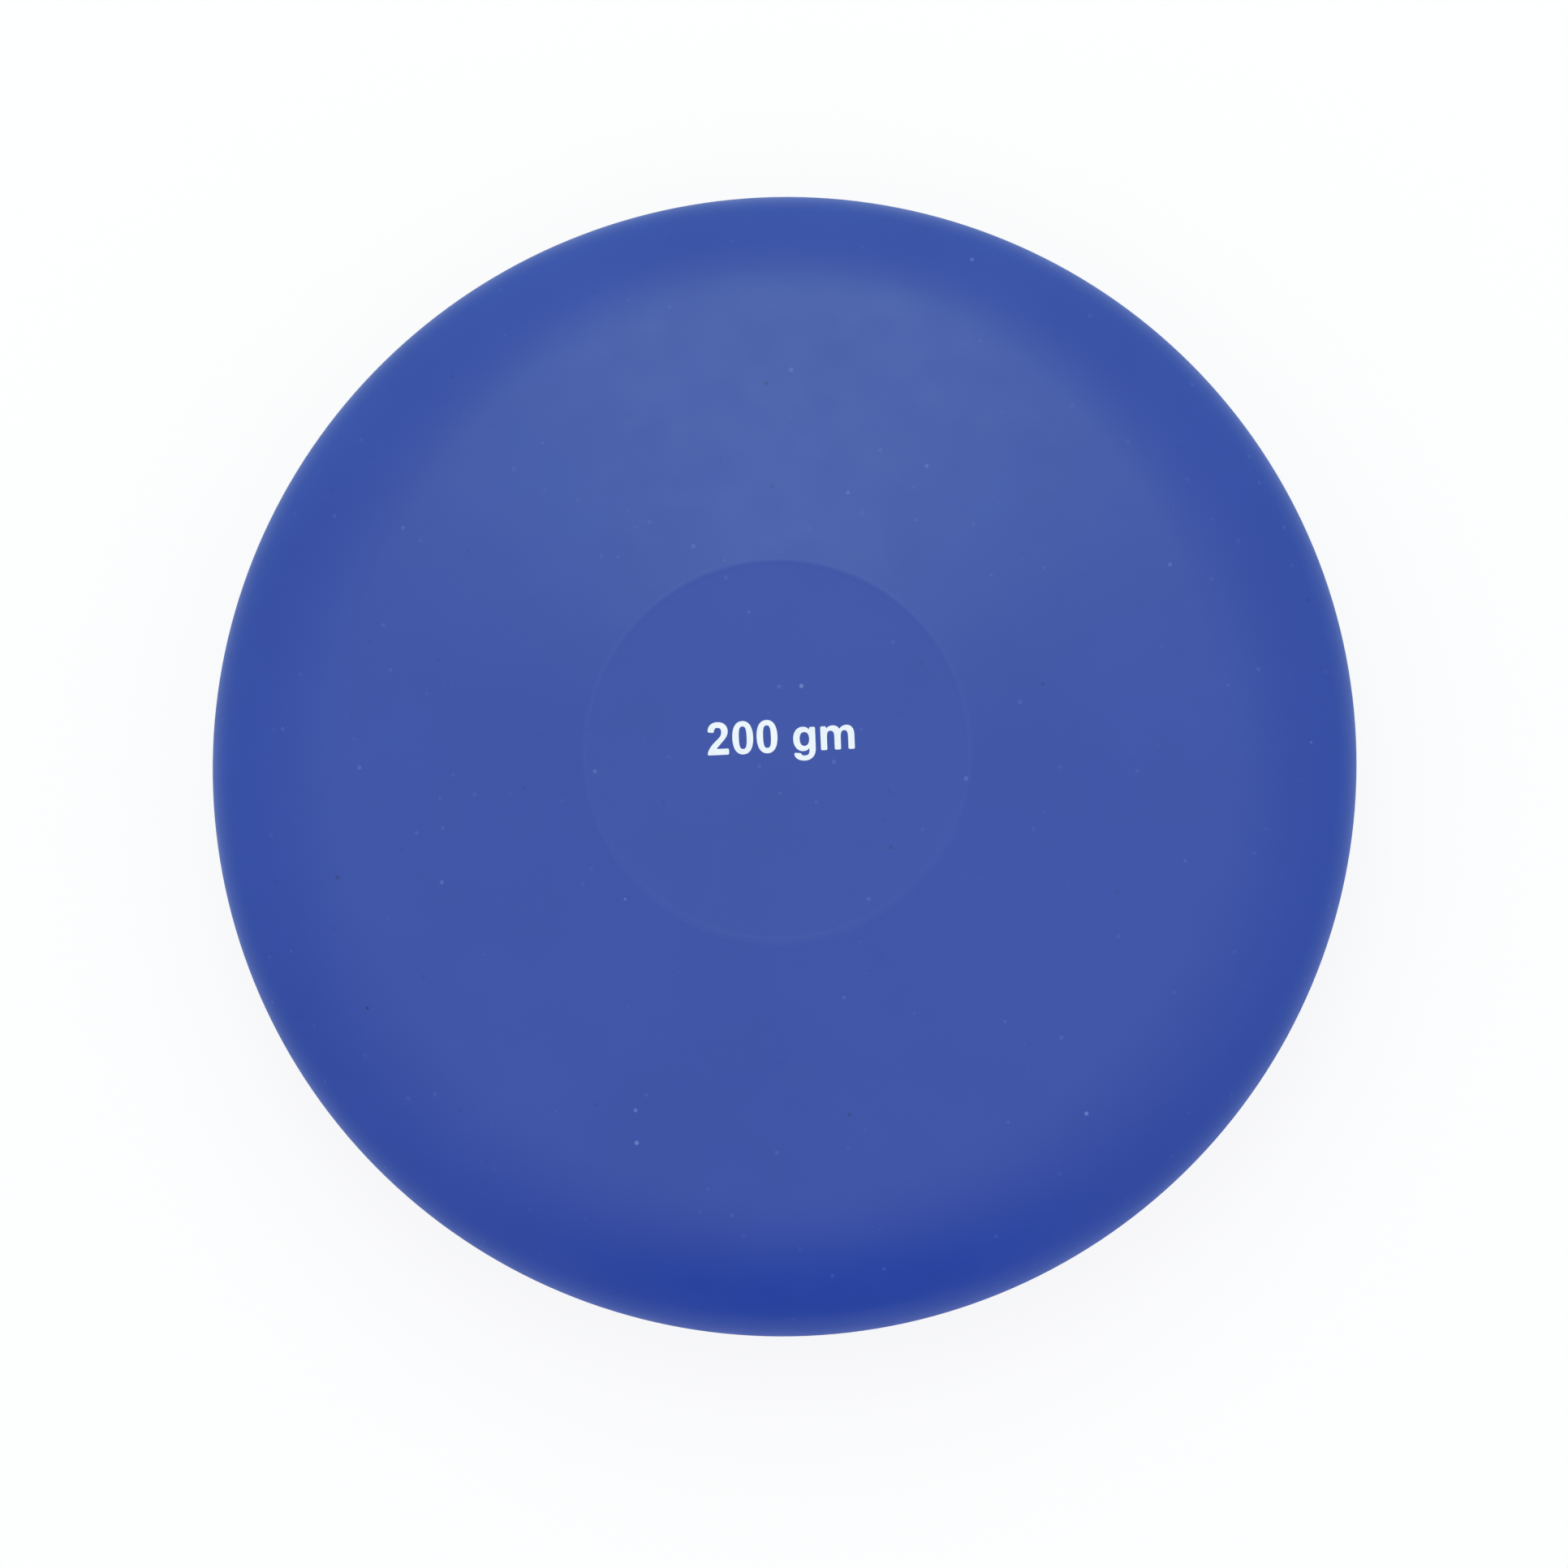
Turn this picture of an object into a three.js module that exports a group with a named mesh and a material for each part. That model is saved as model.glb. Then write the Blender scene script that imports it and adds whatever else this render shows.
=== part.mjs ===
// A soft training discus of 200 g: two soft PVC half shells over a foam core, with a ballast ring
// near the rim, grit in a central well and a push-in plug under it.
// Millimetres. The origin is the centre of the discus, and +Z is its axis.
import * as THREE from "three";

// Outer shape
const discDiameter = 150;
const discThickness = 36;
const flatDiameter = 50;
const flankTiltDegrees = 8.5; // fall of the flank, between the flat and the shoulder
const shoulderRadius = 28; // the long curve between flank and rim
const rimRadius = 8; // the tight curve round the edge

// Shells
const wallThickness = 3;
const rimWallThickness = 4.5; // the skin is thicker where the discus lands
const tongueWidth = 1.2; // ring on the upper shell that seats in a groove in the lower one
const tongueHeight = 1.8;

// Ballast ring and core
const ballastWidth = 6;
const ballastHeight = 7;
const ballastCornerRadius = 1.5;
const coreLipWidth = 4; // how far each core half reaches over the ballast ring
const wellDiameter = 20;

// Fill hole and plug
const plugHeadDiameter = 14;
const plugHeadThickness = 1.2;
const plugStemDiameter = 8;
const plugBarbDiameter = 10.4;
const plugBarbLength = 3;
const plugTipDiameter = 6;
const plugSink = 0.3; // the head lies this far below the flat
const bossDiameter = 18;
const bossHeight = 1.8;

// Fit
const fitClearance = 0.3; // between pieces that don't touch face to face

// Faceting
const roundSegments = 64;
const smallSegments = 32;
const shoulderSteps = 6;
const rimSteps = 5;
const cornerSteps = 3;

// Sizes that follow
const discRadius = discDiameter / 2;
const halfThickness = discThickness / 2;
const flatRadius = flatDiameter / 2;
const flankTilt = THREE.MathUtils.degToRad(flankTiltDegrees);
const rimInnerRadius = discRadius - rimWallThickness;
const innerFlatHeight = halfThickness - wallThickness;
const ballastOuterRadius = rimInnerRadius - fitClearance;
const ballastInnerRadius = ballastOuterRadius - ballastWidth;
const wellRadius = wellDiameter / 2;
const bossTopHeight = innerFlatHeight - bossHeight; // distance from the middle plane
const headOuterHeight = halfThickness - plugSink;
const headInnerHeight = headOuterHeight - plugHeadThickness;

// A point of a profile: distance from the axis, and height.
function at(radius, height) {
  return new THREE.Vector2(radius, height);
}

// Points along a circular arc. Angles are measured from straight up, towards the rim.
function arc(centre, radius, fromAngle, toAngle, steps) {
  const points = [];
  for (let i = 0; i <= steps; i++) {
    const angle = THREE.MathUtils.lerp(fromAngle, toAngle, i / steps);
    points.push(at(centre.x + radius * Math.sin(angle), centre.y + radius * Math.cos(angle)));
  }
  return points;
}

// The upper half's outline: flat, flank, shoulder arc, rim arc. The shoulder is tangent to both of
// its neighbours, which fixes its centre and the tilt at which it hands over to the rim.
function outlineShape() {
  const rimCentre = at(discRadius - rimRadius, 0);
  const flankNormal = at(Math.sin(flankTilt), Math.cos(flankTilt));
  const flankStart = at(flatRadius, halfThickness);
  const rimDepth = flankStart.clone().sub(rimCentre).dot(flankNormal);
  const backAlongFlank = Math.sqrt((rimDepth - rimRadius) * (2 * shoulderRadius - rimDepth - rimRadius));
  const flankDirection = at(flankNormal.y, -flankNormal.x);
  const shoulderCentre = rimCentre
    .clone()
    .addScaledVector(flankNormal, rimDepth - shoulderRadius)
    .addScaledVector(flankDirection, -backAlongFlank);
  const handover = rimCentre.clone().sub(shoulderCentre);
  return { rimCentre, shoulderCentre, handoverTilt: Math.atan2(handover.x, handover.y) };
}

const { rimCentre, shoulderCentre, handoverTilt } = outlineShape();

// The outline moved inwards by inset, from the edge of the flat out to the radius reach.
function insetOutline(inset, reach) {
  const shoulder = shoulderRadius - inset;
  const rim = rimRadius - inset;
  const points = [at(flatRadius - inset * Math.tan(flankTilt / 2), halfThickness - inset)];
  const handoverRadius = shoulderCentre.x + shoulder * Math.sin(handoverTilt);
  if (reach <= handoverRadius) {
    const endTilt = Math.asin((reach - shoulderCentre.x) / shoulder);
    return [...points, ...arc(shoulderCentre, shoulder, flankTilt, endTilt, shoulderSteps)];
  }
  const endTilt = Math.asin(Math.min(1, (reach - rimCentre.x) / rim));
  return [
    ...points,
    ...arc(shoulderCentre, shoulder, flankTilt, handoverTilt, shoulderSteps).slice(0, -1),
    ...arc(rimCentre, rim, handoverTilt, endTilt, rimSteps),
  ];
}

// A profile of the upper half, turned over to make one of the lower half.
function turnedOver(points) {
  return points.map((point) => at(point.x, -point.y)).reverse();
}

const standUp = new THREE.Matrix4().makeBasis(
  new THREE.Vector3(1, 0, 0),
  new THREE.Vector3(0, 0, 1),
  new THREE.Vector3(0, -1, 0),
);

// A solid of revolution about +Z.
function revolved(points, segments) {
  return new THREE.LatheGeometry(points, segments).applyMatrix4(standUp);
}

function piece(name, geometry, material) {
  const mesh = new THREE.Mesh(geometry, material);
  mesh.name = name;
  return mesh;
}

// Materials
const bluePvc = new THREE.MeshStandardMaterial({ color: 0x43589f, roughness: 0.45, metalness: 0 });
const foam = new THREE.MeshStandardMaterial({ color: 0xd9d7cd, roughness: 0.95, metalness: 0 });
const heavyRubber = new THREE.MeshStandardMaterial({ color: 0x2d2d30, roughness: 0.8, metalness: 0 });
const grit = new THREE.MeshStandardMaterial({ color: 0xb49c6e, roughness: 1, metalness: 0 });

// The tongue stands in the middle of the rim wall.
const tongueMiddle = (rimInnerRadius + discRadius) / 2;

function upperShell() {
  const tongueInner = tongueMiddle - tongueWidth / 2;
  const tongueOuter = tongueMiddle + tongueWidth / 2;
  const profile = [
    at(0, halfThickness),
    ...insetOutline(0, discRadius),
    at(tongueOuter, 0),
    at(tongueOuter, -tongueHeight),
    at(tongueInner, -tongueHeight),
    at(tongueInner, 0),
    at(rimInnerRadius, 0),
    ...insetOutline(wallThickness, rimInnerRadius).reverse(),
    at(0, innerFlatHeight),
  ];
  return piece("upper_shell", revolved(profile.reverse(), roundSegments), bluePvc);
}

function lowerShell() {
  const grooveInner = tongueMiddle - tongueWidth / 2 - fitClearance;
  const grooveOuter = tongueMiddle + tongueWidth / 2 + fitClearance;
  const grooveDepth = tongueHeight + fitClearance;
  const holeRadius = plugStemDiameter / 2 + fitClearance;
  const seatRadius = plugHeadDiameter / 2 + fitClearance;
  const seatHeight = headInnerHeight - fitClearance;
  const bossRadius = bossDiameter / 2;
  // Drawn the other way up, as the mould would be, and closed on itself round the fill hole.
  const profile = [
    at(holeRadius, seatHeight),
    at(seatRadius, seatHeight),
    at(seatRadius, halfThickness),
    ...insetOutline(0, discRadius),
    at(grooveOuter, 0),
    at(grooveOuter, grooveDepth),
    at(grooveInner, grooveDepth),
    at(grooveInner, 0),
    at(rimInnerRadius, 0),
    ...insetOutline(wallThickness, rimInnerRadius).reverse(),
    at(bossRadius, innerFlatHeight),
    at(bossRadius, bossTopHeight),
    at(holeRadius, bossTopHeight),
    at(holeRadius, seatHeight),
  ];
  return piece("lower_shell", revolved(turnedOver(profile.reverse()), roundSegments), bluePvc);
}

// Both core halves are the same moulding. Each lips over one face of the ballast ring.
function coreHalf(name, isLower) {
  const partingHeight = fitClearance / 2;
  const lipHeight = ballastHeight / 2 + fitClearance;
  const gripRadius = ballastInnerRadius - fitClearance;
  const lipRadius = gripRadius + coreLipWidth;
  const coreInset = wallThickness + fitClearance;
  const profile = [
    at(wellRadius, partingHeight),
    at(wellRadius, innerFlatHeight - fitClearance),
    ...insetOutline(coreInset, lipRadius),
    at(lipRadius, lipHeight),
    at(gripRadius, lipHeight),
    at(gripRadius, partingHeight),
    at(wellRadius, partingHeight),
  ].reverse();
  return piece(name, revolved(isLower ? turnedOver(profile) : profile, roundSegments), foam);
}

function ballastRing() {
  const halfHeight = ballastHeight / 2;
  const inner = ballastInnerRadius + ballastCornerRadius;
  const outer = ballastOuterRadius - ballastCornerRadius;
  const level = halfHeight - ballastCornerRadius;
  const quarter = Math.PI / 2;
  const corner = (radius, height, start) =>
    arc(at(radius, height), ballastCornerRadius, start, start + quarter, cornerSteps);
  const profile = [
    ...corner(outer, level, 0),
    ...corner(outer, -level, quarter),
    ...corner(inner, -level, 2 * quarter),
    ...corner(inner, level, 3 * quarter),
  ];
  profile.push(profile[0].clone());
  return piece("ballast_ring", revolved(profile.reverse(), roundSegments), heavyRubber);
}

// The grit fills the well, and lies round the plug's barb.
function trimFill() {
  const radius = wellRadius - fitClearance;
  const top = innerFlatHeight - fitClearance;
  const bottom = -(bossTopHeight - fitClearance);
  const pocketRadius = plugBarbDiameter / 2 + fitClearance;
  const pocketTop = bottom + plugBarbLength + fitClearance;
  const profile = [
    at(0, pocketTop),
    at(pocketRadius, pocketTop),
    at(pocketRadius, bottom),
    at(radius, bottom),
    at(radius, top),
    at(0, top),
  ];
  return piece("trim_fill", revolved(profile, smallSegments), grit);
}

// The plug is pushed in from below until its barb springs open over the boss.
function fillPlug() {
  const stemRadius = plugStemDiameter / 2;
  const headRadius = plugHeadDiameter / 2;
  const barbBase = -(bossTopHeight - fitClearance);
  const profile = [
    at(0, -headOuterHeight),
    at(headRadius, -headOuterHeight),
    at(headRadius, -headInnerHeight),
    at(stemRadius, -headInnerHeight),
    at(stemRadius, barbBase),
    at(plugBarbDiameter / 2, barbBase),
    at(plugTipDiameter / 2, barbBase + plugBarbLength),
    at(0, barbBase + plugBarbLength),
  ];
  return piece("fill_plug", revolved(profile, smallSegments), bluePvc);
}

const discus = new THREE.Group();
discus.add(
  upperShell(),
  lowerShell(),
  coreHalf("upper_core", false),
  coreHalf("lower_core", true),
  ballastRing(),
  trimFill(),
  fillPlug(),
);

export default discus;
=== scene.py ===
import bpy
import bmesh
import math
from mathutils import Matrix, Vector


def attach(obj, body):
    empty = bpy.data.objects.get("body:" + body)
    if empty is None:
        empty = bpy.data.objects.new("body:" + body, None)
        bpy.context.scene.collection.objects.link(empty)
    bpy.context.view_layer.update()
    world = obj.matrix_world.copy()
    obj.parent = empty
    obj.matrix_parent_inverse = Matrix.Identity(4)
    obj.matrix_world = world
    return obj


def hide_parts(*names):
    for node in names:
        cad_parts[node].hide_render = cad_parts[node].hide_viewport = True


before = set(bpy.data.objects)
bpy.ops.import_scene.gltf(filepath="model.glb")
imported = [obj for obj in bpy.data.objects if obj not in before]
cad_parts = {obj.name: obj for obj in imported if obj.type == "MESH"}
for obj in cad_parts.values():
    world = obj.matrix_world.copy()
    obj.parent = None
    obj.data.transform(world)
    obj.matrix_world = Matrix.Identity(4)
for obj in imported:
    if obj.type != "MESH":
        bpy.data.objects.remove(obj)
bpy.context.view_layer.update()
print("frame loaded:", sorted(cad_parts))

mm = 0.001


# Small helpers

def srgb(hexColour):
    # a #rrggbb colour as Blender's linear one
    parts = [int(hexColour[i:i + 2], 16) / 255 for i in (1, 3, 5)]
    return [c / 12.92 if c <= 0.04045 else ((c + 0.055) / 1.055) ** 2.4 for c in parts] + [1.0]


def addNode(tree, kind, settings=None, **inputs):
    # inputs: a socket's name with _ for each space, or _ and its number, and a value or another
    # node's output. The colours of a Mix node are its inputs 6 and 7 and its output 2.
    node = tree.nodes.new(kind)
    for key, value in (settings or {}).items():
        setattr(node, key, value)
    for key, value in inputs.items():
        socket = node.inputs[int(key[1:])] if key[1:].isdigit() else node.inputs[key.replace("_", " ")]
        if isinstance(value, bpy.types.NodeSocket):
            tree.links.new(value, socket)
        else:
            socket.default_value = value
    return node


def newMaterial(name):
    material = bpy.data.materials.new(name)
    material.use_nodes = True
    material.node_tree.nodes.clear()
    return material, material.node_tree


def inMillimetres(tree):
    # Object coordinates scaled so that one unit is a millimetre
    place = addNode(tree, "ShaderNodeTexCoord")
    scaled = addNode(tree, "ShaderNodeMapping", Vector=place.outputs["Object"],
                     Scale=(1 / mm, 1 / mm, 1 / mm))
    return scaled.outputs[0]


def setStops(node, positions, colours):
    # stops of a Color Ramp: a colour is a list of four linear values, or one number for a grey
    band = node.color_ramp
    while len(band.elements) < len(positions):
        band.elements.new(1)
    for element, position, colour in zip(band.elements, positions, colours):
        element.position = position
        element.color = colour if isinstance(colour, list) else (colour, colour, colour, 1)


def newPiece(name, bm):
    # the bmesh becomes an object that sits at the origin
    mesh = bpy.data.meshes.new(name)
    bm.to_mesh(mesh)
    bm.free()
    piece = bpy.data.objects.new(name, mesh)
    bpy.context.scene.collection.objects.link(piece)
    return piece


def dress(piece, material, slotName, *nodes):
    piece.data.materials.clear()
    piece.data.materials.append(material)
    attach(piece, "root")
    if nodes:
        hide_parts(*nodes)


# Shape of the skin, as corners of its section that are then rounded

skin = {
    "radius": 75 * mm,
    "halfThickness": 18 * mm,
    "flatRadius": 25 * mm,
    "flankTilt": math.radians(8.5),
    "shoulderRadius": 28 * mm,
    "rimRadius": 8 * mm,
    "wall": 3 * mm,
    "rimWall": 4.5 * mm,
    "dish": 0.12 * mm,  # the flat sinks a little as the moulding cools
    "lipRise": 0.045 * mm,  # a fine raised edge stands round the flat
    "lipWidth": 0.7 * mm,
    "tongueWidth": 1.2 * mm,
    "tongueHeight": 1.8 * mm,
    "fit": 0.3 * mm,
    # roundings: radius and segments
    "lipFootRound": (1 * mm, 5),
    "lipTopRound": (3 * mm, 6),
    "seamRound": (0.18 * mm, 4),  # the two lands roll off here, so a fine parting line shows
    "tongueRound": (0.4 * mm, 3),
    "bandRound": (2 * mm, 5),
    # how finely the curves are cut up
    "dishSteps": 16,
    "shoulderSteps": 24,
    "innerSteps": 12,
    "rimSteps": 20,
    "turns": 256,
}

meshing = {
    "sideShare": 0.98,  # the most of a side that a rounding may take
    "weldDistance": 0.002 * mm,
    "sharpAngle": math.radians(32),  # edges that turn more than this stay crisp
}


def sectionArcs():
    # the flank runs tangent into the shoulder's arc, and that into the rim's, which ends upright
    s = skin
    normal = Vector((math.sin(s["flankTilt"]), math.cos(s["flankTilt"])))
    along = Vector((normal.y, -normal.x))
    rimCentre = Vector((s["radius"] - s["rimRadius"], 0))
    depth = (Vector((s["flatRadius"], s["halfThickness"])) - rimCentre).dot(normal)
    back = math.sqrt((depth - s["rimRadius"]) * (2 * s["shoulderRadius"] - depth - s["rimRadius"]))
    shoulderCentre = rimCentre + normal * (depth - s["shoulderRadius"]) - along * back
    handover = rimCentre - shoulderCentre
    return normal, along, shoulderCentre, rimCentre, math.atan2(handover.x, handover.y)


def sectionCorners(inset):
    # sharp corners of the outer face moved in by inset: edge of the flat, shoulder, rim
    s = skin
    normal, along, shoulderCentre, rimCentre, tilt = sectionArcs()
    shoulder = s["shoulderRadius"] - inset
    rim = s["rimRadius"] - inset
    shoulderCorner = (shoulderCentre + normal * shoulder
                      + along * shoulder * math.tan((tilt - s["flankTilt"]) / 2))
    rimCorner = rimCentre + Vector((rim, rim * math.tan((math.pi / 2 - tilt) / 2)))
    flatCorner = Vector((s["flatRadius"] - inset * math.tan(s["flankTilt"] / 2), s["halfThickness"] - inset))
    return flatCorner, shoulderCorner, rimCorner


def flatHeight(radius):
    # height of the dished flat at a distance from the axis
    s = skin
    reach = s["flatRadius"] - s["lipWidth"]
    return s["halfThickness"] - s["dish"] + (s["dish"] - s["lipRise"]) * (radius / reach) ** 2


def drawOn(bm, corners, last=None):
    # a chain of corners in the XZ plane, carried on from the vertex last
    verts = [bm.verts.new((x, 0, z)) for x, z in corners]
    chain = [last, *verts] if last else verts
    for a, b in zip(chain, chain[1:]):
        bm.edges.new((a, b))
    return verts


def sweepOn(bm, last, centre, turn, steps):
    # a true arc carried on from the vertex last
    swept = bmesh.ops.spin(bm, geom=[last], cent=(centre.x, 0, centre.y), axis=(0, 1, 0),
                           angle=turn, steps=steps, use_merge=False, use_duplicate=False)
    return swept["geom_last"][0]


def roundCorner(bm, corner, radius, segments):
    sides = [edge.other_vert(corner).co - corner.co for edge in corner.link_edges]
    turn = math.pi - sides[0].angle(sides[1])
    offset = min(radius * math.tan(turn / 2), *(side.length * meshing["sideShare"] for side in sides))
    bmesh.ops.bevel(bm, geom=[corner], affect="VERTICES", offset_type="OFFSET", offset=offset,
                    segments=segments, profile=0.5, material=-1)


def spinProfile(name, bm, turns, flipped=False):
    # spins the section round Z, closes it, and turns it over for the lower half
    bmesh.ops.spin(bm, geom=bm.verts[:] + bm.edges[:], cent=(0, 0, 0), axis=(0, 0, 1),
                   angle=2 * math.pi, steps=turns, use_merge=True, use_duplicate=False)
    bmesh.ops.remove_doubles(bm, verts=bm.verts[:], dist=meshing["weldDistance"])
    if flipped:
        bmesh.ops.rotate(bm, verts=bm.verts[:], cent=(0, 0, 0), matrix=Matrix.Rotation(math.pi, 3, "X"))
    bmesh.ops.recalc_face_normals(bm, faces=bm.faces[:])
    piece = newPiece(name, bm)
    piece.data.shade_smooth()
    piece.data.set_sharp_from_angle(angle=meshing["sharpAngle"])
    return piece


# Materials, with every size in millimetres. A band is the range of a pattern's value over which
# the look changes, and a detail is how many finer layers a noise has.

def softPvcMaterial():
    # Plasticised PVC out of a polished steel mould: one deep blue, satin, with trapped air
    # that shows as pale pin-holes, a few of them strong and most very faint, dark crumbs and a
    # cloudiness from uneven pigment, and a paler painted highlight line round the edge of each flat, where
    # its crease catches the light.
    look = {
        "blue": "#1e429f",
        "cloud": "#2145a3",
        "cloudSize": 26,
        "cloudDetail": 5,
        "cloudRoughness": 0.6,
        "cloudBand": (0.35, 0.65),
        "pinhole": "#5c76c0",
        "pinholeSpacing": 3.45,
        "pinholeRadius": 0.36,
        "pinholeHeart": 0.55,  # share of the radius that is evenly pale
        "pinholeDepth": 0.03,
        "strongShare": 0.014,  # share of the pin-holes that show at full strength
        "fading": 0.5,  # power by which the others grow fainter, so most are very faint
        "crumb": "#0c1a50",
        "crumbShare": 0.24,
        "highlightOffset": 0.2,  # the painted highlight line lies this far outside the edge of the flat
        "highlightWidth": 0.9,
        "highlightShare": 0.045,
        "waveSize": 14,
        "waveDetail": 1,
        "waveHeight": 0.005,
        "grainSize": 0.45,  # coarser than a real mould's finish, so that it shows
        "grainDetail": 2,
        "grainHeight": 0.004,
        "roughness": 0.36,
        "roughSwing": 0.03,
        "roughSize": 5,
        "roughDetail": 3,
        "roughBand": (0.3, 0.7),
        "ior": 1.5,
    }
    material, tree = newMaterial("softPvcMoulded")
    here = inMillimetres(tree)
    clouds = addNode(tree, "ShaderNodeTexNoise", Vector=here, Scale=1 / look["cloudSize"],
                     Detail=look["cloudDetail"], Roughness=look["cloudRoughness"])
    colour = addNode(tree, "ShaderNodeValToRGB", Fac=clouds.outputs[0])
    setStops(colour, look["cloudBand"], [srgb(look["blue"]), srgb(look["cloud"])])
    # pin-holes, each with a strength of its own
    bubbles = addNode(tree, "ShaderNodeTexVoronoi", Vector=here, Scale=1 / look["pinholeSpacing"])
    edge = look["pinholeRadius"] / look["pinholeSpacing"]
    shape = addNode(tree, "ShaderNodeValToRGB", Fac=bubbles.outputs["Distance"])
    shape.color_ramp.interpolation = "EASE"
    setStops(shape, (edge * look["pinholeHeart"], edge), (1.0, 0.0))
    chance = addNode(tree, "ShaderNodeSeparateColor", Color=bubbles.outputs["Color"])
    rarity = addNode(tree, "ShaderNodeMath", {"operation": "DIVIDE"},
                     _0=look["strongShare"], _1=chance.outputs[0])
    strength = addNode(tree, "ShaderNodeMath", {"operation": "POWER", "use_clamp": True},
                       _0=rarity.outputs[0], _1=look["fading"])
    pinholes = addNode(tree, "ShaderNodeMath", {"operation": "MULTIPLY"},
                       _0=shape.outputs[0], _1=strength.outputs[0])
    # painted highlight along the edge of the flat, where its crease catches the light, in the pin-holes'
    # pale colour
    offAxis = addNode(tree, "ShaderNodeVectorMath", {"operation": "MULTIPLY"}, _0=here, _1=(1, 1, 0))
    radius = addNode(tree, "ShaderNodeVectorMath", {"operation": "LENGTH"}, _0=offAxis.outputs[0])
    offEdge = addNode(tree, "ShaderNodeMath", {"operation": "SUBTRACT"},
                      _0=radius.outputs["Value"], _1=skin["flatRadius"] / mm + look["highlightOffset"])
    nearEdge = addNode(tree, "ShaderNodeMath", {"operation": "ABSOLUTE"}, _0=offEdge.outputs[0])
    edgeHighlight = addNode(tree, "ShaderNodeMapRange", {"interpolation_type": "SMOOTHSTEP"},
                  Value=nearEdge.outputs[0], From_Min=0, From_Max=look["highlightWidth"] / 2,
                  To_Min=look["highlightShare"], To_Max=0)
    highlighted = addNode(tree, "ShaderNodeMix", {"data_type": "RGBA"}, _0=edgeHighlight.outputs[0],
                     _6=colour.outputs[0], _7=srgb(look["pinhole"]))
    # some specks are crumbs of pigment
    isCrumb = addNode(tree, "ShaderNodeMath", {"operation": "LESS_THAN"},
                      _0=chance.outputs[1], _1=look["crumbShare"])
    speck = addNode(tree, "ShaderNodeMix", {"data_type": "RGBA"}, _0=isCrumb.outputs[0],
                    _6=srgb(look["pinhole"]), _7=srgb(look["crumb"]))
    speckled = addNode(tree, "ShaderNodeMix", {"data_type": "RGBA"}, _0=pinholes.outputs[0],
                       _6=highlighted.outputs[2], _7=speck.outputs[2])
    # gloss, and a surface that is slightly uneven at three sizes
    sheen = addNode(tree, "ShaderNodeTexNoise", Vector=here, Scale=1 / look["roughSize"],
                    Detail=look["roughDetail"])
    rough = addNode(tree, "ShaderNodeMapRange", Value=sheen.outputs[0],
                    From_Min=look["roughBand"][0], From_Max=look["roughBand"][1],
                    To_Min=look["roughness"] - look["roughSwing"],
                    To_Max=look["roughness"] + look["roughSwing"])
    waves = addNode(tree, "ShaderNodeTexNoise", Vector=here, Scale=1 / look["waveSize"],
                    Detail=look["waveDetail"])
    wavy = addNode(tree, "ShaderNodeBump", Height=waves.outputs[0],
                   Distance=look["waveHeight"] * mm, Strength=1)
    grain = addNode(tree, "ShaderNodeTexNoise", Vector=here, Scale=1 / look["grainSize"],
                    Detail=look["grainDetail"])
    grainy = addNode(tree, "ShaderNodeBump", Height=grain.outputs[0],
                     Distance=look["grainHeight"] * mm, Strength=1, Normal=wavy.outputs[0])
    pitted = addNode(tree, "ShaderNodeBump", {"invert": True}, Height=pinholes.outputs[0],
                     Distance=look["pinholeDepth"] * mm, Strength=1, Normal=grainy.outputs[0])
    shader = addNode(tree, "ShaderNodeBsdfPrincipled", Base_Color=speckled.outputs[2],
                     Roughness=rough.outputs[0], IOR=look["ior"], Normal=pitted.outputs[0])
    addNode(tree, "ShaderNodeOutputMaterial", Surface=shader.outputs[0])
    return material


def padInkMaterial():
    # White two-part pad-printing ink: thin, opaque, a little matter than the vinyl under it
    look = {
        "white": "#f5f8fb",
        "thin": "#ebf1f8",
        "patchSize": 1.6,
        "patchDetail": 4,
        "patchBand": (0.3, 0.6),
        "patchHeight": 0.004,
        "roughness": 0.5,
        "ior": 1.5,
    }
    material, tree = newMaterial("padInkWhite")
    here = inMillimetres(tree)
    patches = addNode(tree, "ShaderNodeTexNoise", Vector=here, Scale=1 / look["patchSize"],
                      Detail=look["patchDetail"])
    colour = addNode(tree, "ShaderNodeValToRGB", Fac=patches.outputs[0])
    setStops(colour, look["patchBand"], [srgb(look["thin"]), srgb(look["white"])])
    bumpy = addNode(tree, "ShaderNodeBump", Height=patches.outputs[0],
                    Distance=look["patchHeight"] * mm, Strength=1)
    shader = addNode(tree, "ShaderNodeBsdfPrincipled", Base_Color=colour.outputs[0],
                     Roughness=look["roughness"], IOR=look["ior"], Normal=bumpy.outputs[0])
    addNode(tree, "ShaderNodeOutputMaterial", Surface=shader.outputs[0])
    return material


def closedCellFoamMaterial():
    # Cross-linked polyethylene foam, cut or moulded: matt, off-white, with cells under a millimetre
    look = {
        "face": "#dedbd0",
        "cellWall": "#c9c5b7",
        "cellSize": 0.8,
        "wallBand": (0.0, 0.25),
        "cellDepth": 0.12,
        "depthShare": 0.8,  # share of that depth that the shading shows
        "roughness": 0.92,
        "ior": 1.5,
    }
    material, tree = newMaterial("closedCellFoam")
    here = inMillimetres(tree)
    cells = addNode(tree, "ShaderNodeTexVoronoi", {"feature": "DISTANCE_TO_EDGE"},
                    Vector=here, Scale=1 / look["cellSize"])
    colour = addNode(tree, "ShaderNodeValToRGB", Fac=cells.outputs["Distance"])
    setStops(colour, look["wallBand"], [srgb(look["cellWall"]), srgb(look["face"])])
    bumpy = addNode(tree, "ShaderNodeBump", Height=cells.outputs["Distance"],
                    Distance=look["cellDepth"] * mm, Strength=look["depthShare"])
    shader = addNode(tree, "ShaderNodeBsdfPrincipled", Base_Color=colour.outputs[0],
                     Roughness=look["roughness"], IOR=look["ior"], Normal=bumpy.outputs[0])
    addNode(tree, "ShaderNodeOutputMaterial", Surface=shader.outputs[0])
    return material


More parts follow.
